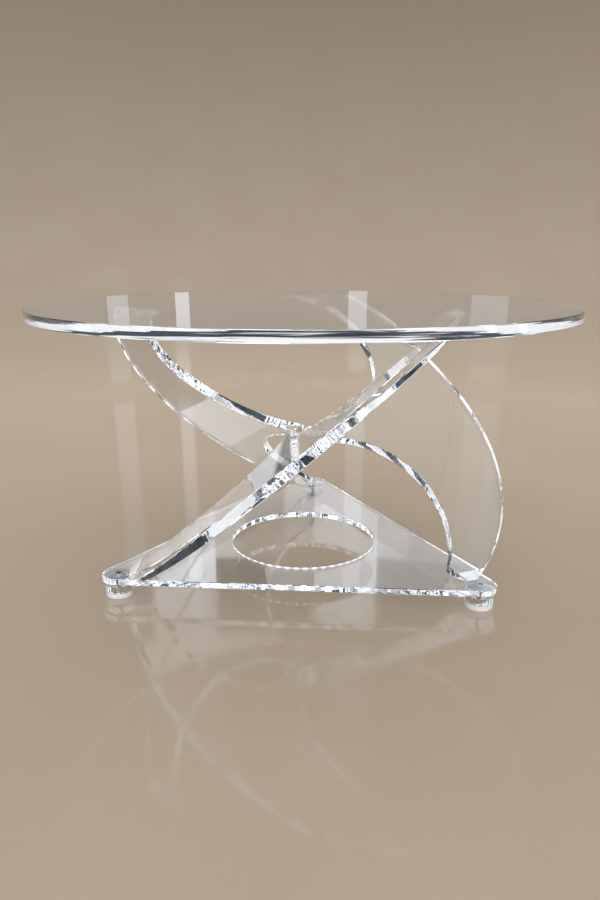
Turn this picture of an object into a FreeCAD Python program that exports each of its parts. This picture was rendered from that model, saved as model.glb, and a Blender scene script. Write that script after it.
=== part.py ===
"""Clear acrylic coffee table: a round top on three tilted crescent blades over a three-cornered base plate.

Millimetres, +Z up. The origin is on the floor, on the axis that the top, the base plate and the blades share.
"""

import math
import os

import FreeCAD
import Part
from FreeCAD import Placement, Rotation, Vector

# Tabletop
TOP_DIAMETER = 864.0
TOP_THICKNESS = 15.0

# Height of the blades, from the base plate's upper face to the tabletop's underside
BLADE_RISE = 400.0

# Film of cement or air between two faces that are bonded or screwed together
JOINT_FILM = 0.1

# Base plate: a rounded triangle with a foot under each corner and a large round hole
FOOT_CIRCLE_RADIUS = 330.0
PLATE_THICKNESS = 10.0
PLATE_CORNER_RADIUS = 26.0
PLATE_HOLE_DIAMETER = 254.0

# Feet: a clear cylinder on a milky glide
FOOT_DIAMETER = 44.0
FOOT_HEIGHT = 18.0
GLIDE_HEIGHT = 9.0
GLIDE_SETBACK = 0.4

# Countersunk machine screws that hold the feet
SCREW_DIAMETER = 6.0
SCREW_HEAD_DIAMETER = 12.0
SCREW_HEAD_HEIGHT = 3.3
SCREW_FOOT_REACH = 11.0
SCREW_HOLE_CLEARANCE = 0.2
SCREW_DRILL_ALLOWANCE = 1.5
SOCKET_ACROSS_FLATS = 4.0
SOCKET_DEPTH = 2.4
SOCKET_SIDES = 6

# Blades: flat crescents, measured in the plane of the sheet from the point where it crosses the axis
BLADE_THICKNESS = 16.0
BLADE_SWING = 146.0
LANDING_INSET = 26.5
LANDING_WIDTH = 40.0
HEEL_LENGTH = 20.0
HEEL_STEP = 12.0
HEAD_INSET = 61.5
HEAD_OUTER_REACH = 40.0
HEAD_INNER_REACH = 59.0
CROWN_DROP = 55.0
CROWN_REACH = 344.0
LOWER_BITE_DEPTH = 104.0
UPPER_BITE_DEPTH = 145.0
NECK_WIDTH = 30.0
NECK_DROP = 18.0
NECK_OVERRUN = 6.0
MITRE_REACH = 60.0

# Polished arris along every sawn edge
EDGE_BREAK = 0.8

# Spare length that is trimmed off again when a sheet is cut to its final planes
TRIM_ALLOWANCE = 30.0

# Threefold layout, as azimuths about the axis
FOLDS = 3
STEP = 360.0 / FOLDS
CORNERS = {"left": 210.0, "right": 330.0, "back": 90.0}
BLADE_START = {"front": "left", "right": "right", "left": "back"}

# Levels, from the floor up
FOOT_BOTTOM = GLIDE_HEIGHT
PLATE_BOTTOM = FOOT_BOTTOM + FOOT_HEIGHT
PLATE_TOP = PLATE_BOTTOM + PLATE_THICKNESS
TABLE_UNDERSIDE = PLATE_TOP + BLADE_RISE

UP = Vector(0, 0, 1)
LEVEL_TOLERANCE = 1e-4


def polar(radius, degrees, height=0.0):
    """Point at a radius and an azimuth about the axis."""
    angle = math.radians(degrees)
    return Vector(radius * math.cos(angle), radius * math.sin(angle), height)


def prism(edges, bottom, height):
    """Upright solid over a closed outline of edges that lies in the plane z = 0."""
    face = Part.Face(Part.Wire(Part.__sortEdges__([edge.toShape() for edge in edges])))
    face.translate(UP * bottom)
    return face.extrude(UP * height)


def edges_at(shape, levels):
    """Edges of a shape that lie wholly at one of the given heights."""
    found = []
    for edge in shape.Edges:
        box = edge.BoundBox
        for level in levels:
            if max(abs(box.ZMin - level), abs(box.ZMax - level)) < LEVEL_TOLERANCE:
                found.append(edge)
    return found


def make_tabletop():
    """Round clear disc with both rim edges broken."""
    disc = Part.makeCylinder(TOP_DIAMETER / 2, TOP_THICKNESS, Vector(0, 0, TABLE_UNDERSIDE))
    return disc.makeChamfer(EDGE_BREAK, edges_at(disc, (TABLE_UNDERSIDE, TABLE_UNDERSIDE + TOP_THICKNESS)))


def plate_outline():
    """Rounded triangle: a corner arc about each foot, joined by straight tangent sides."""
    edges = []
    for azimuth in sorted(CORNERS.values()):
        centre = polar(FOOT_CIRCLE_RADIUS, azimuth)
        following = polar(FOOT_CIRCLE_RADIUS, azimuth + STEP)
        start = centre + polar(PLATE_CORNER_RADIUS, azimuth - STEP / 2)
        middle = centre + polar(PLATE_CORNER_RADIUS, azimuth)
        end = centre + polar(PLATE_CORNER_RADIUS, azimuth + STEP / 2)
        edges.append(Part.Arc(start, middle, end))
        edges.append(Part.LineSegment(end, following + polar(PLATE_CORNER_RADIUS, azimuth + STEP / 2)))
    return edges


def screw_hole(azimuth):
    """Clearance hole and countersink for one foot screw, as a solid to cut away."""
    seat = polar(FOOT_CIRCLE_RADIUS, azimuth, PLATE_TOP)
    shank_radius = SCREW_DIAMETER / 2 + SCREW_HOLE_CLEARANCE
    depth = PLATE_THICKNESS + SCREW_FOOT_REACH + SCREW_DRILL_ALLOWANCE
    bore = Part.makeCylinder(shank_radius, depth, seat - UP * depth)
    sink = Part.makeCone(shank_radius, SCREW_HEAD_DIAMETER / 2 + SCREW_HOLE_CLEARANCE, SCREW_HEAD_HEIGHT,
                         seat - UP * SCREW_HEAD_HEIGHT)
    return bore.fuse(sink)


def make_base_plate():
    """Three-cornered plate with broken edges, a round hole and a countersunk hole over each foot."""
    plate = prism(plate_outline(), PLATE_BOTTOM, PLATE_THICKNESS)
    hole = Part.makeCylinder(PLATE_HOLE_DIAMETER / 2, PLATE_THICKNESS, Vector(0, 0, PLATE_BOTTOM))
    plate = plate.cut(hole)
    plate = plate.makeChamfer(EDGE_BREAK, edges_at(plate, (PLATE_BOTTOM, PLATE_TOP)))
    for azimuth in CORNERS.values():
        plate = plate.cut(screw_hole(azimuth))
    return plate


def make_foot(azimuth):
    """Clear cylinder under one corner, drilled from above for its screw."""
    base = polar(FOOT_CIRCLE_RADIUS, azimuth, FOOT_BOTTOM)
    height = FOOT_HEIGHT - JOINT_FILM
    foot = Part.makeCylinder(FOOT_DIAMETER / 2, height, base)
    foot = foot.makeChamfer(EDGE_BREAK, edges_at(foot, (FOOT_BOTTOM, FOOT_BOTTOM + height)))
    return foot.cut(screw_hole(azimuth))


def make_glide(azimuth):
    """Milky disc bonded under one foot, with its floor edge broken."""
    base = polar(FOOT_CIRCLE_RADIUS, azimuth)
    glide = Part.makeCylinder(FOOT_DIAMETER / 2 - GLIDE_SETBACK, GLIDE_HEIGHT - JOINT_FILM, base)
    return glide.makeChamfer(EDGE_BREAK, edges_at(glide, (0.0,)))


def make_screw(azimuth):
    """Countersunk screw with a hexagon socket, its head flush with the plate."""
    seat = polar(FOOT_CIRCLE_RADIUS, azimuth, PLATE_TOP)
    shank_length = PLATE_THICKNESS + SCREW_FOOT_REACH
    shank = Part.makeCylinder(SCREW_DIAMETER / 2, shank_length, seat - UP * shank_length)
    head = Part.makeCone(SCREW_DIAMETER / 2, SCREW_HEAD_DIAMETER / 2, SCREW_HEAD_HEIGHT,
                         seat - UP * SCREW_HEAD_HEIGHT)
    across_corners = SOCKET_ACROSS_FLATS / math.cos(math.pi / SOCKET_SIDES)
    ring = [seat + polar(across_corners / 2, 360.0 / SOCKET_SIDES * side) for side in range(SOCKET_SIDES + 1)]
    socket = Part.Face(Part.makePolygon(ring)).extrude(UP * -SOCKET_DEPTH)
    return shank.fuse(head).removeSplitter().cut(socket)


class BladePlan:
    """Sizes of one blade in a frame whose X runs up the slope and whose -Y runs out to the crown."""

    def __init__(self):
        foot = polar(FOOT_CIRCLE_RADIUS, -BLADE_SWING)
        next_foot = polar(FOOT_CIRCLE_RADIUS, STEP - BLADE_SWING)
        run_start = foot.x + LANDING_INSET
        run_end = next_foot.x - HEAD_INSET
        self.tilt = math.atan2(BLADE_RISE, run_end - run_start)
        self.axis_level = PLATE_TOP - run_start * math.tan(self.tilt)
        lower = run_start / math.cos(self.tilt)
        upper = run_end / math.cos(self.tilt)
        self.foot_outer = Vector(lower, foot.y - LANDING_WIDTH / 2, 0)
        self.foot_inner = Vector(lower, foot.y + LANDING_WIDTH / 2, 0)
        self.heel = Vector(lower + HEEL_LENGTH, self.foot_inner.y + HEEL_STEP, 0)
        self.head_outer = Vector(upper, next_foot.y - HEAD_OUTER_REACH, 0)
        self.head_inner = Vector(upper, next_foot.y + HEAD_INNER_REACH, 0)
        self.crown = Vector(-CROWN_DROP, -CROWN_REACH, 0)
        self.neck_low = Vector(-NECK_DROP - NECK_WIDTH / 2, NECK_OVERRUN, 0)
        self.neck_high = Vector(-NECK_DROP + NECK_WIDTH / 2, NECK_OVERRUN, 0)

    def crown_arc(self, corner):
        """Arc from a corner, lengthened past it, to the crown, where it runs along the slope."""
        mirrored = Vector(2 * self.crown.x - corner.x, corner.y, 0)
        circle = Part.Circle(corner, self.crown, mirrored)
        first = circle.parameter(corner) - TRIM_ALLOWANCE / circle.Radius
        return Part.Arc(circle, first, circle.parameter(self.crown))

    def bite_arc(self, corner, neck, depth, overrun):
        """Arc from a corner, lengthened past it, to the neck, bowed towards the crown by the given depth."""
        chord = neck - corner
        outward = Vector(chord.y, -chord.x, 0).normalize()
        if outward.dot(self.crown) < 0:
            outward = -outward
        circle = Part.Circle(corner, (corner + neck) * 0.5 + outward * depth, neck)
        first = circle.parameter(corner) - overrun / circle.Radius
        return Part.Arc(circle, first, circle.parameter(neck))

    def outline(self):
        """Crescent with two round bites, closed by straight ends that lie beyond the final cuts."""
        outer_low = self.crown_arc(self.foot_outer)
        outer_high = self.crown_arc(self.head_outer)
        bite_low = self.bite_arc(self.heel, self.neck_low, LOWER_BITE_DEPTH, 0.0)
        bite_high = self.bite_arc(self.head_inner, self.neck_high, UPPER_BITE_DEPTH, TRIM_ALLOWANCE)
        heel_end = self.foot_inner + (self.foot_inner - self.heel).normalize() * TRIM_ALLOWANCE
        heel = Part.LineSegment(self.heel, heel_end)
        landing = Part.LineSegment(heel_end, outer_low.StartPoint)
        head = Part.LineSegment(outer_high.StartPoint, bite_high.StartPoint)
        neck = Part.LineSegment(self.neck_high, self.neck_low)
        return [outer_low, outer_high, head, bite_high, neck, bite_low, heel, landing]


def mitre_waste():
    """Upright solid round the axis that leaves the third of a turn on the crown's side for a blade's neck."""
    far_side = 90.0
    point = Vector(0, -JOINT_FILM, 0)
    ring = [point + polar(MITRE_REACH, far_side + turn * STEP / 2) for turn in range(1 - FOLDS, FOLDS)]
    return Part.Face(Part.makePolygon([point] + ring + [point])).extrude(UP * TABLE_UNDERSIDE)


def make_blade(azimuth):
    """Flat crescent from the foot at an azimuth, through the axis, to the tabletop above the next foot."""
    plan = BladePlan()
    blade = prism(plan.outline(), -BLADE_THICKNESS / 2, BLADE_THICKNESS)
    blade = blade.makeChamfer(EDGE_BREAK, edges_at(blade, (-BLADE_THICKNESS / 2, BLADE_THICKNESS / 2)))
    tilted = Rotation(Vector(0, 1, 0), -math.degrees(plan.tilt))
    blade.Placement = Placement(Vector(0, 0, plan.axis_level), tilted)
    size = 2 * TOP_DIAMETER
    corner = Vector(-size / 2, -size / 2, PLATE_TOP + JOINT_FILM)
    storey = Part.makeBox(size, size, BLADE_RISE - 2 * JOINT_FILM, corner)
    blade = blade.common(storey).cut(mitre_waste())
    blade.rotate(Vector(0, 0, 0), UP, azimuth + BLADE_SWING)
    return blade


def make_parts():
    """Every piece of the table, by node name."""
    parts = {"tabletop": make_tabletop(), "base_plate": make_base_plate()}
    for name, start in BLADE_START.items():
        parts["blade_" + name] = make_blade(CORNERS[start])
    for name, azimuth in CORNERS.items():
        parts["foot_" + name] = make_foot(azimuth)
        parts["glide_" + name] = make_glide(azimuth)
        parts["foot_screw_" + name] = make_screw(azimuth)
    return parts


def single_solid(shape):
    """The one solid that a boolean left inside its compound."""
    return max(shape.Solids, key=lambda solid: solid.Volume)


def main():
    """Writes one file per piece."""
    os.makedirs("parts", exist_ok=True)
    for name, shape in make_parts().items():
        solid = single_solid(shape)
        solid.exportStep(os.path.join("parts", name + ".step"))
        print(name, "solids", len(shape.Solids), "valid", solid.isValid(), "volume", round(solid.Volume, 1))


main()
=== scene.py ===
"""Clear acrylic coffee table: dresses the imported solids, adds threaded foot screws and sets up a studio."""

import logging
import math
from dataclasses import dataclass, field
from enum import Enum
from typing import Any, Dict, List, Optional, Tuple

import bmesh
import bpy
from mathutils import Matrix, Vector


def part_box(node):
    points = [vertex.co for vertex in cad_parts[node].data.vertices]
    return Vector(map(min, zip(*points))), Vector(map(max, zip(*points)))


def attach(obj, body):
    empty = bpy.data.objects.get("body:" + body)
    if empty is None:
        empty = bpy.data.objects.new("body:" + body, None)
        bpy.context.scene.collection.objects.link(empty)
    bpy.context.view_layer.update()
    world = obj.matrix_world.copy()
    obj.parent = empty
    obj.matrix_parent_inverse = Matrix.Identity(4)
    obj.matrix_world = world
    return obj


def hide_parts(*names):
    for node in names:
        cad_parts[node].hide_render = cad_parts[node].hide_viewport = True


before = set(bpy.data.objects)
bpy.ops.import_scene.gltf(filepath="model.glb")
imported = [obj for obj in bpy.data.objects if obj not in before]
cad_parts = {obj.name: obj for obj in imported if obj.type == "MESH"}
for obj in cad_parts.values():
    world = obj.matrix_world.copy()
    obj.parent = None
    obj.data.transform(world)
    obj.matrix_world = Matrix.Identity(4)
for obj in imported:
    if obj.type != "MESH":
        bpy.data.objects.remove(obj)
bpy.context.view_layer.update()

LOG = logging.getLogger("coffee_table")
MM = 0.001

Colour = Tuple[float, float, float, float]
Point = Tuple[float, float, float]
Span = Tuple[float, float]

UPRIGHT: Point = (0.0, 0.0, 1.0)


class Corner(Enum):
    """Corners of the base plate, by the azimuth of the foot under each."""

    LEFT = 210.0
    RIGHT = 330.0
    BACK = 90.0

    @property
    def tag(self) -> str:
        """Corner's word in the node names."""
        return self.name.lower()


class Blade(Enum):
    """Blades, by the azimuth that each one climbs towards."""

    FRONT = 356.0
    RIGHT = 116.0
    LEFT = 236.0

    @property
    def node(self) -> str:
        """Blade's node name."""
        return "blade_" + self.name.lower()


def linear(hex_colour: str) -> Colour:
    """Turns an sRGB hex value to linear.

    Args:
        hex_colour: Six hex digits with a leading hash.

    Returns:
        Linear red, green, blue and an alpha of one.
    """
    channels = [int(hex_colour[i:i + 2], 16) / 255.0 for i in (1, 3, 5)]
    values = [c / 12.92 if c <= 0.04045 else ((c + 0.055) / 1.055) ** 2.4 for c in channels]
    return (values[0], values[1], values[2], 1.0)


def per_metre(size_mm: float) -> float:
    """Texture scale whose features are about the given size.

    Args:
        size_mm: Size of one feature in millimetres.

    Returns:
        Scale for a texture that reads Object coordinates in metres.
    """
    return 1.0 / (size_mm * MM)


def add(tree: bpy.types.NodeTree, kind: str, settings: Optional[Dict[str, Any]] = None,
        **inputs: Any) -> bpy.types.Node:
    """Adds one node with its settings, values and links.

    Args:
        tree: Tree that gets the node.
        kind: Blender's name of the node type.
        settings: Attributes of the node itself.
        **inputs: Socket values or output sockets, keyed by the socket's name in lower case with
            underscores, or by "_" and a number for a socket's place.

    Returns:
        The new node.
    """
    node = tree.nodes.new(kind)
    for name, value in (settings or {}).items():
        setattr(node, name, value)
    for key, value in inputs.items():
        if key.startswith("_"):
            socket = node.inputs[int(key[1:])]
        else:
            socket = next(s for s in node.inputs
                          if s.enabled and s.name.lower().replace(" ", "_") == key)
        if isinstance(value, bpy.types.NodeSocket):
            tree.links.new(value, socket)
        else:
            socket.default_value = value
    return node


def new_material(name: str) -> Tuple[bpy.types.Material, bpy.types.NodeTree]:
    """Empty node material.

    Args:
        name: Name of the finish.

    Returns:
        The material and its node tree.
    """
    material = bpy.data.materials.new(name)
    material.use_nodes = True
    material.node_tree.nodes.clear()
    return material, material.node_tree


def dress(node: str, material: bpy.types.Material) -> None:
    """Gives a CAD node its finish.

    Args:
        node: Name of the node.
        material: Material for all of its slots.
    """
    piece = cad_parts[node]
    if not piece.material_slots:
        piece.data.materials.append(material)
    for place in piece.material_slots:
        place.material = material
    LOG.info("%s: %s", node, material.name)


@dataclass(frozen=True)
class PolishedAcrylic:
    """Cast acrylic sheet, buffed on its faces and flame-polished on its sawn edges.

    The faces are nearly invisible, with a faint waviness in what they mirror. The edges ripple more, which
    breaks the room's light into bright and dark patches. The surface normal tells face from edge.
    """

    name: str = "cast_acrylic"
    bright: str = "#FEFEFE"
    shaded: str = "#F7FAFB"
    ior: float = 1.49
    haze: float = 0.0
    wave_mm: float = 120.0
    wave_detail: float = 1.0
    ripple_mm: Tuple[float, float, float] = (14.0, 14.0, 14.0)
    ripple_detail: float = 1.5
    grain_mm: float = 5.0
    grain_detail: float = 3.0
    face_relief_mm: float = 0.006
    edge_relief_mm: float = 0.25
    edge_facing: Span = (0.9, 0.3)

    def material(self, face: Point) -> bpy.types.Material:
        """Builds the finish for one sheet.

        Args:
            face: Unit normal of the sheet's broad faces.

        Returns:
            The material.
        """
        material, tree = new_material(self.name)
        place = add(tree, "ShaderNodeTexCoord").outputs["Object"]
        normal = add(tree, "ShaderNodeNewGeometry").outputs["True Normal"]
        facing = add(tree, "ShaderNodeVectorMath", {"operation": "DOT_PRODUCT"}, _0=normal, _1=face)
        flatness = add(tree, "ShaderNodeMath", {"operation": "ABSOLUTE"}, _0=facing.outputs["Value"])
        edge = add(tree, "ShaderNodeMapRange", _0=flatness.outputs[0], from_min=self.edge_facing[0],
                   from_max=self.edge_facing[1])

        wave = add(tree, "ShaderNodeTexNoise", vector=place, scale=per_metre(self.wave_mm),
                   detail=self.wave_detail)
        ripple_place = add(tree, "ShaderNodeMapping", vector=place,
                           scale=[per_metre(size) for size in self.ripple_mm])
        ripple = add(tree, "ShaderNodeTexNoise", vector=ripple_place.outputs[0], scale=1.0,
                     detail=self.ripple_detail)
        grain = add(tree, "ShaderNodeTexNoise", vector=place, scale=per_metre(self.grain_mm),
                    detail=self.grain_detail)

        relief = add(tree, "ShaderNodeMapRange", _0=edge.outputs[0], to_min=self.face_relief_mm * MM,
                     to_max=self.edge_relief_mm * MM)
        height = add(tree, "ShaderNodeMix", {"data_type": "FLOAT"}, _0=edge.outputs[0],
                     _2=wave.outputs[0], _3=ripple.outputs[0])
        raised = add(tree, "ShaderNodeMath", {"operation": "MULTIPLY"}, _0=height.outputs[0],
                     _1=relief.outputs[0])
        bump = add(tree, "ShaderNodeBump", strength=1.0, distance=1.0, height=raised.outputs[0])

        tint = add(tree, "ShaderNodeMix", {"data_type": "RGBA"}, _0=grain.outputs[0],
                   _6=linear(self.bright), _7=linear(self.shaded))
        surface = add(tree, "ShaderNodeBsdfPrincipled", base_color=tint.outputs[2], roughness=self.haze,
                      ior=self.ior, transmission_weight=1.0, normal=bump.outputs[0])
        add(tree, "ShaderNodeOutputMaterial", surface=surface.outputs[0])
        return material


@dataclass(frozen=True)
class MilkyNylon:
    """Moulded nylon: white, slightly waxy, scuffed in places, with a fine pitted skin from the mould."""

    name: str = "moulded_nylon"
    clean: str = "#FBFBFB"
    scuffed: str = "#EDECEA"
    ior: float = 1.53
    roughness: Span = (0.32, 0.5)
    milkiness: float = 0.15
    bleed_mm: float = 2.0
    mottle_mm: float = 6.0
    mottle_detail: float = 4.0
    # Real pits are about 0.1 mm across, too fine to show, so they are drawn coarser.
    pit_mm: float = 0.7
    pit_detail: float = 2.0
    pit_depth_mm: float = 0.05
    pit_strength: float = 0.3

    def material(self) -> bpy.types.Material:
        """Builds the finish.

        Returns:
            The material.
        """
        material, tree = new_material(self.name)
        place = add(tree, "ShaderNodeTexCoord").outputs["Object"]
        mottle = add(tree, "ShaderNodeTexNoise", vector=place, scale=per_metre(self.mottle_mm),
                     detail=self.mottle_detail)
        pits = add(tree, "ShaderNodeTexNoise", vector=place, scale=per_metre(self.pit_mm),
                   detail=self.pit_detail)
        colour = add(tree, "ShaderNodeMix", {"data_type": "RGBA"}, _0=mottle.outputs[0],
                     _6=linear(self.clean), _7=linear(self.scuffed))
        rough = add(tree, "ShaderNodeMapRange", _0=mottle.outputs[0], to_min=self.roughness[0],
                    to_max=self.roughness[1])
        bump = add(tree, "ShaderNodeBump", strength=self.pit_strength, distance=self.pit_depth_mm * MM,
                   height=pits.outputs[0])
        surface = add(tree, "ShaderNodeBsdfPrincipled", base_color=colour.outputs[2],
                      roughness=rough.outputs[0], ior=self.ior, normal=bump.outputs[0],
                      subsurface_weight=self.milkiness, subsurface_radius=(self.bleed_mm * MM,) * 3)
        add(tree, "ShaderNodeOutputMaterial", surface=surface.outputs[0])
        return material


@dataclass(frozen=True)
class StainlessSteel:
    """Turned and rolled stainless steel: grey, satin, with fine marks round the screw's axis."""

    name: str = "rolled_stainless"
    light: str = "#C9CACB"
    dark: str = "#9A9C9F"
    roughness: Span = (0.22, 0.38)
    # Real marks are about 0.05 mm apart, too fine to show, so they are drawn coarser.
    mark_mm: float = 0.5
    mark_detail: float = 3.0
    mark_stretch: Point = (0.2, 0.2, 1.0)
    mark_depth_mm: float = 0.03
    mark_strength: float = 0.4
    blotch_mm: float = 3.0
    blotch_detail: float = 2.0

    def material(self) -> bpy.types.Material:
        """Builds the finish.

        Returns:
            The material.
        """
        material, tree = new_material(self.name)
        place = add(tree, "ShaderNodeTexCoord").outputs["Object"]
        stretched = add(tree, "ShaderNodeMapping", vector=place, scale=self.mark_stretch)
        marks = add(tree, "ShaderNodeTexNoise", vector=stretched.outputs[0],
                    scale=per_metre(self.mark_mm), detail=self.mark_detail)
        blotch = add(tree, "ShaderNodeTexNoise", vector=place, scale=per_metre(self.blotch_mm),
                     detail=self.blotch_detail)
        colour = add(tree, "ShaderNodeMix", {"data_type": "RGBA"}, _0=blotch.outputs[0],
                     _6=linear(self.light), _7=linear(self.dark))
        rough = add(tree, "ShaderNodeMapRange", _0=marks.outputs[0], to_min=self.roughness[0],
                    to_max=self.roughness[1])
        bump = add(tree, "ShaderNodeBump", strength=self.mark_strength, distance=self.mark_depth_mm * MM,
                   height=marks.outputs[0])
        surface = add(tree, "ShaderNodeBsdfPrincipled", base_color=colour.outputs[2], metallic=1.0,
                      roughness=rough.outputs[0], normal=bump.outputs[0])
        add(tree, "ShaderNodeOutputMaterial", surface=surface.outputs[0])
        return material


@dataclass(frozen=True)
class PolishedFloor:
    """Burnished stone floor: warm beige, cloudy, with a soft mirror of what stands on it.

    It turns matt and darker as it curves up into the backdrop; the darkening is painted shade. Part of its
    colour is shown directly to the camera, to mirrors and through acrylic, which keeps the shadow soft. To a
    sharp mirror alone, such as the base plate's face, the upper backdrop glows as a painted reflection.
    Light that was mirrored inside a sheet passes through to the room beyond, so that a cut edge shows the
    room's windows and piers and a broad face shows the floor. Once is enough where the sheet is quite clear;
    where it has a trace of haze it takes twice, which keeps the tabletop's image in the floor plain. The
    room's light comes in through the backdrop.
    """

    name: str = "burnished_stone"
    pale: str = "#B5A593"
    deep: str = "#AA9985"
    # Painted shade: the colour that the backdrop darkens to as it climbs.
    painted_shade: str = "#8B7A68"
    # Colour of the painted reflection: the upper backdrop's glow, seen by sharp mirrors alone.
    glow: str = "#D0DAEA"
    cloud_mm: float = 420.0
    cloud_detail: float = 5.0
    speck_mm: float = 9.0
    speck_detail: float = 2.0
    speck_share: float = 0.25
    roughness: Span = (0.05, 0.09)
    matt_roughness: float = 0.6
    specular: float = 0.65
    fill: float = 0.52
    glow_strength: float = 1.5
    # Levels on the backdrop, in metres above the floor.
    wall_foot: float = 0.05
    matt_level: Span = (0.0, 0.3)
    painted_shade_level: Span = (0.5, 3.0)
    glow_level: Span = (1.1, 2.5)
    # Counts of mirror bounces, half a bounce short.
    mirrored_once: float = 0.5
    mirrored_twice: float = 1.5

    def material(self) -> bpy.types.Material:
        """Builds the finish.

        Returns:
            The material.
        """
        material, tree = new_material(self.name)
        place = add(tree, "ShaderNodeTexCoord").outputs["Object"]
        level = add(tree, "ShaderNodeSeparateXYZ", _0=place).outputs[2]
        cloud = add(tree, "ShaderNodeTexNoise", vector=place, scale=per_metre(self.cloud_mm),
                    detail=self.cloud_detail)
        speck = add(tree, "ShaderNodeTexNoise", vector=place, scale=per_metre(self.speck_mm),
                    detail=self.speck_detail)
        blend = add(tree, "ShaderNodeMath", {"operation": "MULTIPLY_ADD"}, _0=speck.outputs[0],
                    _1=self.speck_share, _2=cloud.outputs[0])
        colour = add(tree, "ShaderNodeMix", {"data_type": "RGBA"}, _0=blend.outputs[0],
                     _6=linear(self.pale), _7=linear(self.deep))
        # Painted shade: the backdrop's colour darkens as it climbs, standing in for the dimmer light high up.
        climb = add(tree, "ShaderNodeMapRange", _0=level, from_min=self.painted_shade_level[0],
                    from_max=self.painted_shade_level[1])
        graded = add(tree, "ShaderNodeMix", {"data_type": "RGBA"}, _0=climb.outputs[0],
                     _6=colour.outputs[2], _7=linear(self.painted_shade))
        rough = add(tree, "ShaderNodeMapRange", _0=cloud.outputs[0], to_min=self.roughness[0],
                    to_max=self.roughness[1])
        matt = add(tree, "ShaderNodeMapRange", _0=level, from_min=self.matt_level[0],
                   from_max=self.matt_level[1], to_min=rough.outputs[0], to_max=self.matt_roughness)

        rays = add(tree, "ShaderNodeLightPath").outputs
        direct = add(tree, "ShaderNodeMath", {"operation": "MAXIMUM"}, _0=rays["Is Camera Ray"],
                     _1=rays["Is Glossy Ray"])
        shown = add(tree, "ShaderNodeMath", {"operation": "MAXIMUM"}, _0=direct.outputs[0],
                    _1=rays["Is Transmission Ray"])
        filled = add(tree, "ShaderNodeMath", {"operation": "MULTIPLY"}, _0=shown.outputs[0], _1=self.fill)
        # Painted reflection: high on the backdrop, the surface glows for sharp mirror rays alone, so the base
        # plate's face mirrors a pale cool veil; no other ray sees this glow, and nothing is lit by it.
        mirrored = add(tree, "ShaderNodeMath", {"operation": "MULTIPLY"}, _0=rays["Is Singular Ray"],
                       _1=rays["Is Reflection Ray"])
        head = add(tree, "ShaderNodeMapRange", {"interpolation_type": "SMOOTHSTEP"}, _0=level,
                   from_min=self.glow_level[0], from_max=self.glow_level[1])
        lit = add(tree, "ShaderNodeMath", {"operation": "MULTIPLY"}, _0=head.outputs[0],
                  _1=mirrored.outputs[0])
        strength = add(tree, "ShaderNodeMapRange", _0=lit.outputs[0], to_min=filled.outputs[0],
                       to_max=self.glow_strength)
        shine = add(tree, "ShaderNodeMix", {"data_type": "RGBA"}, _0=lit.outputs[0], _6=graded.outputs[2],
                    _7=linear(self.glow))
        body = add(tree, "ShaderNodeMix", {"data_type": "RGBA"}, _0=self.fill, _6=graded.outputs[2],
                   _7=linear("#000000"))
        surface = add(tree, "ShaderNodeBsdfPrincipled", base_color=body.outputs[2],
                      roughness=matt.outputs[0], specular_ior_level=self.specular,
                      emission_color=shine.outputs[2], emission_strength=strength.outputs[0])

        once = add(tree, "ShaderNodeMath", {"operation": "GREATER_THAN"}, _0=rays["Glossy Depth"],
                   _1=self.mirrored_once)
        sharp = add(tree, "ShaderNodeMath", {"operation": "MULTIPLY"}, _0=once.outputs[0],
                    _1=rays["Is Singular Ray"])
        twice = add(tree, "ShaderNodeMath", {"operation": "GREATER_THAN"}, _0=rays["Glossy Depth"],
                    _1=self.mirrored_twice)
        inside = add(tree, "ShaderNodeMath", {"operation": "MAXIMUM"}, _0=twice.outputs[0],
                     _1=sharp.outputs[0])
        opened = add(tree, "ShaderNodeMath", {"operation": "MULTIPLY"}, _0=inside.outputs[0],
                     _1=rays["Is Transmission Ray"])
        lighting = add(tree, "ShaderNodeMath", {"operation": "MAXIMUM"}, _0=rays["Is Diffuse Ray"],
                       _1=rays["Is Shadow Ray"])
        wall = add(tree, "ShaderNodeMath", {"operation": "GREATER_THAN"}, _0=level, _1=self.wall_foot)
        let_in = add(tree, "ShaderNodeMath", {"operation": "MULTIPLY"}, _0=lighting.outputs[0],
                     _1=wall.outputs[0])
        clear = add(tree, "ShaderNodeMath", {"operation": "MAXIMUM"}, _0=opened.outputs[0],
                    _1=let_in.outputs[0])
        through = add(tree, "ShaderNodeBsdfTransparent")
        both = add(tree, "ShaderNodeMixShader", _0=clear.outputs[0], _1=surface.outputs[0],
                   _2=through.outputs[0])
        add(tree, "ShaderNodeOutputMaterial", surface=both.outputs[0])
        return material


@dataclass
class AcrylicSheets:
    """Tabletop, base plate and blades: the sheets that are bonded together."""

    blade_slope: float = 39.7
    top_finish: PolishedAcrylic = PolishedAcrylic(ripple_mm=(320.0, 320.0, 7.0), edge_relief_mm=0.15,
                                                  haze=0.008)
    plate_finish: PolishedAcrylic = PolishedAcrylic(ripple_mm=(110.0, 110.0, 5.0), edge_relief_mm=0.12)
    blade_finish: PolishedAcrylic = PolishedAcrylic()

    def blade_normal(self, blade: Blade) -> Point:
        """Unit normal of a blade's broad faces.

        Args:
            blade: The blade.

        Returns:
            Normal on the upper face.
        """
        heading, slope = math.radians(blade.value), math.radians(self.blade_slope)
        flat = -math.sin(slope)
        return (flat * math.cos(heading), flat * math.sin(heading), math.cos(slope))

    def build(self) -> None:
        """Dresses the sheets."""
        dress("tabletop", self.top_finish.material(UPRIGHT))
        dress("base_plate", self.plate_finish.material(UPRIGHT))
        for blade in Blade:
            dress(blade.node, self.blade_finish.material(self.blade_normal(blade)))


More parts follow.
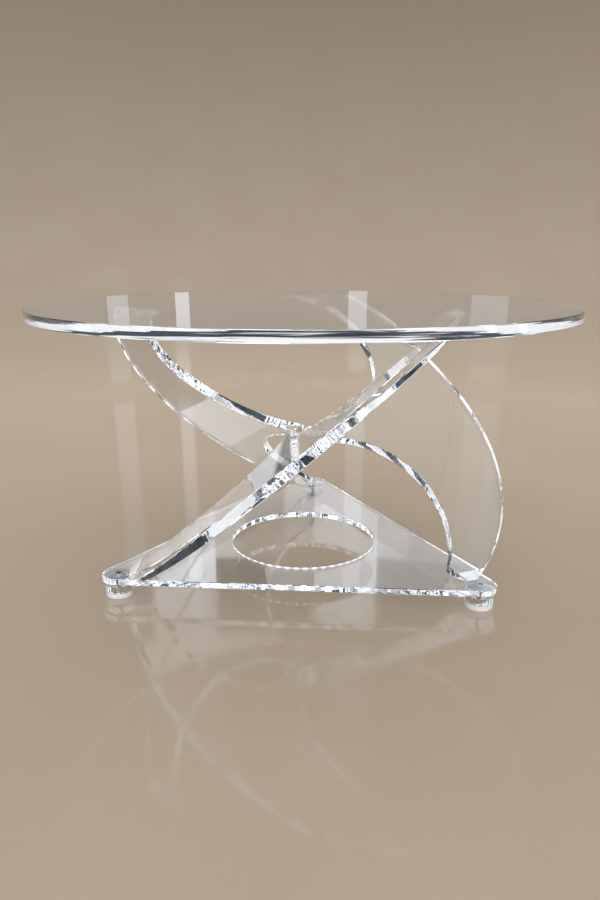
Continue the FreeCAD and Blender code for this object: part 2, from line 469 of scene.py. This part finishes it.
@dataclass
class Feet:
    """Clear feet, their milky glides and the threaded screws that hold them."""

    circle_radius: float = 330.0 * MM
    thread_depth: float = 0.5 * MM
    thread_pitch: float = 1.0 * MM
    thread_steps: int = 20
    ridge_sides: int = 4
    head_height: float = 3.3 * MM
    head_sides: int = 48
    socket_across: float = 4.0 * MM
    socket_depth: float = 2.4 * MM
    socket_sides: int = 6
    shank_radius: float = 3.0 * MM
    shank_sides: int = 32
    seed: int = 7
    acrylic: PolishedAcrylic = PolishedAcrylic(name="turned_acrylic", ripple_mm=(40.0, 40.0, 4.0),
                                               edge_relief_mm=0.02, haze=0.008)
    nylon: MilkyNylon = MilkyNylon()
    steel: StainlessSteel = StainlessSteel()

    def screw_tree(self) -> bpy.types.NodeTree:
        """Node tree for one countersunk socket screw under each corner of the plate.

        Returns:
            The tree, with the screw's sizes and its material as inputs.
        """
        tree = bpy.data.node_groups.new("foot_screws", "GeometryNodeTree")
        tree.interface.new_socket("Geometry", in_out="OUTPUT", socket_type="NodeSocketGeometry")
        for name in ("Circle Radius", "Top Level", "Shank Length", "Core Radius", "Thread Depth", "Turns",
                     "Head Radius", "Head Height", "Socket Radius", "Socket Depth"):
            tree.interface.new_socket(name, in_out="INPUT", socket_type="NodeSocketFloat")
        tree.interface.new_socket("Seed", in_out="INPUT", socket_type="NodeSocketInt")
        tree.interface.new_socket("Material", in_out="INPUT", socket_type="NodeSocketMaterial")
        size = add(tree, "NodeGroupInput").outputs

        # Levels are counted down from the top of the head.
        head_foot = add(tree, "ShaderNodeMath", {"operation": "MULTIPLY"}, _0=size["Head Height"], _1=-1.0)
        shank_foot = add(tree, "ShaderNodeMath", {"operation": "SUBTRACT"}, _0=head_foot.outputs[0],
                         _1=size["Shank Length"])
        shank_middle = add(tree, "ShaderNodeMath", {"operation": "MULTIPLY_ADD"}, _0=size["Shank Length"],
                           _1=0.5, _2=shank_foot.outputs[0])
        core = add(tree, "GeometryNodeMeshCylinder", vertices=self.shank_sides, radius=size["Core Radius"],
                   depth=size["Shank Length"])
        spiral = add(tree, "GeometryNodeCurveSpiral", resolution=self.thread_steps,
                     rotations=size["Turns"], start_radius=size["Core Radius"],
                     end_radius=size["Core Radius"], height=size["Shank Length"])
        steady = add(tree, "GeometryNodeSetCurveNormal", {"mode": "Z_UP"}, curve=spiral.outputs[0])
        ridge = add(tree, "GeometryNodeCurvePrimitiveCircle", resolution=self.ridge_sides,
                    radius=size["Thread Depth"])
        thread = add(tree, "GeometryNodeCurveToMesh", curve=steady.outputs[0],
                     profile_curve=ridge.outputs[0], fill_caps=True)
        cone = add(tree, "GeometryNodeMeshCone", vertices=self.head_sides, radius_top=size["Head Radius"],
                   radius_bottom=size["Core Radius"], depth=size["Head Height"])
        lifted = []
        for mesh, level in ((core, shank_middle), (thread, shank_foot), (cone, head_foot)):
            place = add(tree, "ShaderNodeCombineXYZ", z=level.outputs[0])
            lifted.append(add(tree, "GeometryNodeTransform", geometry=mesh.outputs[0],
                              translation=place.outputs[0]))
        both_ways = add(tree, "ShaderNodeMath", {"operation": "MULTIPLY"}, _0=size["Socket Depth"], _1=2.0)
        key = add(tree, "GeometryNodeMeshCylinder", vertices=self.socket_sides,
                  radius=size["Socket Radius"], depth=both_ways.outputs[0])
        head = add(tree, "GeometryNodeMeshBoolean", {"operation": "DIFFERENCE", "solver": "EXACT"},
                   mesh_1=lifted[2].outputs[0], mesh_2=key.outputs[0])
        screw = add(tree, "GeometryNodeJoinGeometry")
        for piece in (lifted[0], lifted[1], head):
            tree.links.new(piece.outputs[0], screw.inputs[0])

        top = add(tree, "ShaderNodeCombineXYZ", z=size["Top Level"])
        ring = add(tree, "GeometryNodeMeshCircle", vertices=len(Corner), radius=size["Circle Radius"])
        seats = add(tree, "GeometryNodeTransform", geometry=ring.outputs[0], translation=top.outputs[0],
                    rotation=(0.0, 0.0, math.pi / 2))
        chance = add(tree, "FunctionNodeRandomValue", {"data_type": "FLOAT"},
                     max=math.tau / self.socket_sides, seed=size["Seed"])
        driven = add(tree, "ShaderNodeCombineXYZ", z=chance.outputs[1])
        screws = add(tree, "GeometryNodeInstanceOnPoints", points=seats.outputs[0],
                     instance=screw.outputs[0], rotation=driven.outputs[0])
        real = add(tree, "GeometryNodeRealizeInstances", geometry=screws.outputs[0])
        done = add(tree, "GeometryNodeSetMaterial", geometry=real.outputs[0], material=size["Material"])
        add(tree, "NodeGroupOutput", geometry=done.outputs[0])
        return tree

    def build_screws(self, steel: bpy.types.Material) -> None:
        """Makes the threaded screws in place of the plain ones.

        Args:
            steel: The screws' finish.
        """
        nodes = ["foot_screw_" + corner.tag for corner in Corner]
        low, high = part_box(nodes[0])
        shank_length = high[2] - low[2] - self.head_height
        values = {"Circle Radius": self.circle_radius, "Top Level": high[2], "Shank Length": shank_length,
                  "Core Radius": self.shank_radius - self.thread_depth, "Thread Depth": self.thread_depth,
                  "Turns": shank_length / self.thread_pitch, "Head Radius": (high[0] - low[0]) / 2,
                  "Head Height": self.head_height, "Socket Radius": self.socket_across / math.sqrt(3.0),
                  "Socket Depth": self.socket_depth, "Seed": self.seed, "Material": steel}
        tree = self.screw_tree()
        maker = bpy.data.objects.new("screw_maker", bpy.data.meshes.new("screw_maker"))
        bpy.context.scene.collection.objects.link(maker)
        modifier = maker.modifiers.new("foot_screws", "NODES")
        modifier.node_group = tree
        for item in tree.interface.items_tree:
            if item.name in values:
                modifier[item.identifier] = values[item.name]
        graph = bpy.context.evaluated_depsgraph_get()
        made = bpy.data.meshes.new_from_object(maker.evaluated_get(graph))
        maker.modifiers.remove(modifier)
        bpy.data.objects.remove(maker)
        screws = bpy.data.objects.new("foot_screws", made)
        bpy.context.scene.collection.objects.link(screws)
        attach(screws, "root")
        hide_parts(*nodes)
        LOG.info("foot_screws: %d faces, %s", len(made.polygons), steel.name)

    def build(self) -> None:
        """Dresses the feet and glides and makes the screws."""
        clear = self.acrylic.material(UPRIGHT)
        milky = self.nylon.material()
        for corner in Corner:
            dress("foot_" + corner.tag, clear)
            dress("glide_" + corner.tag, milky)
        self.build_screws(self.steel.material())


@dataclass(frozen=True)
class Softbox:
    """One area lamp: where it stands, where it points, its size and power, and whether it is mirrored."""

    name: str
    place: Point
    aim: Point
    width: float
    height: float
    power: float
    colour: str = "#FFFFFF"
    mirrored: bool = False


def back_strip(tag: str, across: float, width: float, power: float) -> Softbox:
    """Tall strip of light behind the table, for the pale bars that the tabletop mirrors.

    Args:
        tag: Letter of the strip.
        across: Place from side to side, in metres.
        width: Width in metres.
        power: Power in watts.

    Returns:
        The strip.
    """
    return Softbox("back_strip_" + tag, (across, 3.3, 1.2), (0.0, 0.0, 0.4), width, 1.6, power,
                   colour="#DDE7F4", mirrored=True)


@dataclass
class Studio:
    """Seamless floor and backdrop, softboxes, ambient light and the camera."""

    floor: PolishedFloor = PolishedFloor()
    floor_radius: float = 1.8
    sweep_radius: float = 4.4
    sweep_sides: int = 96
    sweep_steps: int = 40
    wall_height: float = 8.0
    camera_place: Point = (0.0771, -1.1607, 0.5262)
    camera_pitch: float = 15.64
    camera_yaw: float = 4.08
    lens: float = 27.71
    sensor_height: float = 36.0
    bounces: int = 32
    room_wall: str = "#F3F4F7"
    room_gap: str = "#2A3440"
    room_window: str = "#EFF5FF"
    wall_strength: float = 1.1
    window_strength: float = 1.9
    room_bays: float = 25.0
    room_rails: float = 24.0
    # Soft edges on the waves that repeat the piers, windows and rails.
    pier_edge: Span = (-0.65, -0.8)
    pier_depth: float = 0.45
    window_edge: Span = (0.3, 0.4)
    rail_edge: Span = (-0.35, -0.55)
    # Soft edges on the slope of the line of sight: zero is level and one is straight up.
    eaves: Span = (0.55, 0.45)
    horizon: Span = (0.16, 0.24)
    softboxes: List[Softbox] = field(default_factory=lambda: [
        Softbox("overhead", (0.0, 0.6, 3.6), (0.0, 0.6, 0.0), 3.4, 3.4, 46.0),
        Softbox("front_left", (-2.6, -2.6, 1.9), (0.0, 0.0, 0.3), 0.9, 1.8, 14.0),
        Softbox("front_right", (2.9, -1.9, 1.6), (0.0, 0.0, 0.3), 0.6, 1.8, 10.0),
        Softbox("front_low", (0.3, -2.6, 0.65), (0.0, 0.0, 0.02), 3.2, 0.8, 26.0),
        back_strip("a", -1.41, 0.135, 0.17),
        back_strip("b", -0.99, 0.09, 0.22),
        back_strip("c", 0.12, 0.12, 0.19),
        back_strip("d", 0.93, 0.23, 0.16),
    ])

    def build_sweep(self) -> None:
        """Makes the round floor that curves up into the backdrop on all sides."""
        profile = []
        for step in range(self.sweep_steps + 1):
            turn = math.pi / 2 * step / self.sweep_steps
            profile.append((self.floor_radius + self.sweep_radius * math.sin(turn),
                            self.sweep_radius * (1.0 - math.cos(turn))))
        profile.append((self.floor_radius + self.sweep_radius, self.wall_height))
        headings = [math.tau * side / self.sweep_sides for side in range(self.sweep_sides)]
        mesh = bmesh.new()
        rings = [[mesh.verts.new((radius * math.cos(heading), radius * math.sin(heading), level))
                  for heading in headings] for radius, level in profile]
        mesh.faces.new(rings[0])
        for low, high in zip(rings, rings[1:]):
            for side in range(self.sweep_sides):
                after = (side + 1) % self.sweep_sides
                mesh.faces.new((low[side], high[side], high[after], low[after])).smooth = True
        data = bpy.data.meshes.new("studio_floor")
        mesh.to_mesh(data)
        mesh.free()
        data.materials.append(self.floor.material())
        sweep = bpy.data.objects.new("studio_floor", data)
        bpy.context.scene.collection.objects.link(sweep)

    def build_lamps(self) -> None:
        """Hangs the softboxes, hidden from the camera and, apart from the strips, from the acrylic."""
        for box in self.softboxes:
            data = bpy.data.lights.new(box.name, "AREA")
            data.shape = "RECTANGLE"
            data.size, data.size_y = box.width, box.height
            data.energy = box.power
            data.color = linear(box.colour)[:3]
            lamp = bpy.data.objects.new(box.name, data)
            lamp.visible_camera = False
            lamp.visible_glossy = box.mirrored
            lamp.visible_transmission = box.mirrored
            lamp.location = box.place
            way = Vector(box.aim) - Vector(box.place)
            lamp.rotation_euler = way.to_track_quat("-Z", "Y").to_euler()
            bpy.context.scene.collection.objects.link(lamp)

    def build_room(self) -> None:
        """Makes the room that the acrylic shows: pale walls, bright windows, dark piers and rails."""
        soft = {"interpolation_type": "SMOOTHSTEP"}
        world = bpy.data.worlds.new("studio_room")
        world.use_nodes = True
        tree = world.node_tree
        tree.nodes.clear()
        ways = add(tree, "ShaderNodeTexCoord").outputs["Generated"]
        axes = add(tree, "ShaderNodeSeparateXYZ", _0=ways).outputs
        turn = add(tree, "ShaderNodeMath", {"operation": "ARCTAN2"}, _0=axes[1], _1=axes[0])
        swing = add(tree, "ShaderNodeMath", {"operation": "MULTIPLY"}, _0=turn.outputs[0],
                    _1=self.room_bays)
        beat = add(tree, "ShaderNodeMath", {"operation": "SINE"}, _0=swing.outputs[0])
        pier = add(tree, "ShaderNodeMapRange", soft, _0=beat.outputs[0], from_min=self.pier_edge[0],
                   from_max=self.pier_edge[1], to_max=self.pier_depth)
        bay = add(tree, "ShaderNodeMapRange", soft, _0=beat.outputs[0], from_min=self.window_edge[0],
                  from_max=self.window_edge[1])
        slope = add(tree, "ShaderNodeMath", {"operation": "ABSOLUTE"}, _0=axes[2])
        under = add(tree, "ShaderNodeMapRange", soft, _0=axes[2], from_min=self.eaves[0],
                    from_max=self.eaves[1])
        away = add(tree, "ShaderNodeMapRange", soft, _0=slope.outputs[0], from_min=self.horizon[0],
                   from_max=self.horizon[1])
        storey = add(tree, "ShaderNodeMath", {"operation": "MULTIPLY"}, _0=under.outputs[0],
                     _1=away.outputs[0])
        column = add(tree, "ShaderNodeMath", {"operation": "MULTIPLY"}, _0=pier.outputs[0],
                     _1=storey.outputs[0])
        climb = add(tree, "ShaderNodeMath", {"operation": "MULTIPLY"}, _0=axes[2], _1=self.room_rails)
        rung = add(tree, "ShaderNodeMath", {"operation": "SINE"}, _0=climb.outputs[0])
        rail = add(tree, "ShaderNodeMapRange", soft, _0=rung.outputs[0], from_min=self.rail_edge[0],
                   from_max=self.rail_edge[1])
        dark = add(tree, "ShaderNodeMath", {"operation": "MAXIMUM"}, _0=column.outputs[0],
                   _1=rail.outputs[0])
        glazed = add(tree, "ShaderNodeMath", {"operation": "MULTIPLY"}, _0=bay.outputs[0],
                     _1=storey.outputs[0])
        colour = add(tree, "ShaderNodeMix", {"data_type": "RGBA"}, _0=dark.outputs[0],
                     _6=linear(self.room_wall), _7=linear(self.room_gap))
        walls = add(tree, "ShaderNodeBackground", color=colour.outputs[2], strength=self.wall_strength)
        windows = add(tree, "ShaderNodeBackground", color=linear(self.room_window),
                      strength=self.window_strength)
        room = add(tree, "ShaderNodeMixShader", _0=glazed.outputs[0], _1=walls.outputs[0],
                   _2=windows.outputs[0])
        plain = add(tree, "ShaderNodeBackground", color=linear(self.floor.pale), strength=1.0)
        seen = add(tree, "ShaderNodeLightPath").outputs["Is Camera Ray"]
        both = add(tree, "ShaderNodeMixShader", _0=seen, _1=room.outputs[0], _2=plain.outputs[0])
        add(tree, "ShaderNodeOutputWorld", surface=both.outputs[0])
        bpy.context.scene.world = world

    def build_light_paths(self) -> None:
        """Lets light run on inside the sheets, mirrored many times before it leaves by an edge."""
        paths = bpy.context.scene.cycles
        paths.max_bounces = self.bounces
        paths.glossy_bounces = self.bounces
        paths.transmission_bounces = self.bounces

    def build_camera(self) -> None:
        """Puts the camera where the photograph was taken."""
        data = bpy.data.cameras.new("camera")
        data.sensor_fit = "VERTICAL"
        data.sensor_height = self.sensor_height
        data.lens = self.lens
        camera = bpy.data.objects.new("camera", data)
        camera.location = self.camera_place
        camera.rotation_euler = (math.radians(90.0 - self.camera_pitch), 0.0, math.radians(self.camera_yaw))
        bpy.context.scene.collection.objects.link(camera)
        bpy.context.scene.camera = camera

    def build(self) -> None:
        """Builds the whole studio."""
        bpy.context.scene.view_settings.view_transform = "Standard"
        self.build_camera()
        self.build_sweep()
        self.build_lamps()
        self.build_room()
        self.build_light_paths()


def main() -> None:
    """Builds the studio and dresses the table."""
    logging.basicConfig(level=logging.INFO, format="%(message)s")
    Studio().build()
    AcrylicSheets().build()
    Feet().build()


if __name__ == "__main__":
    main()
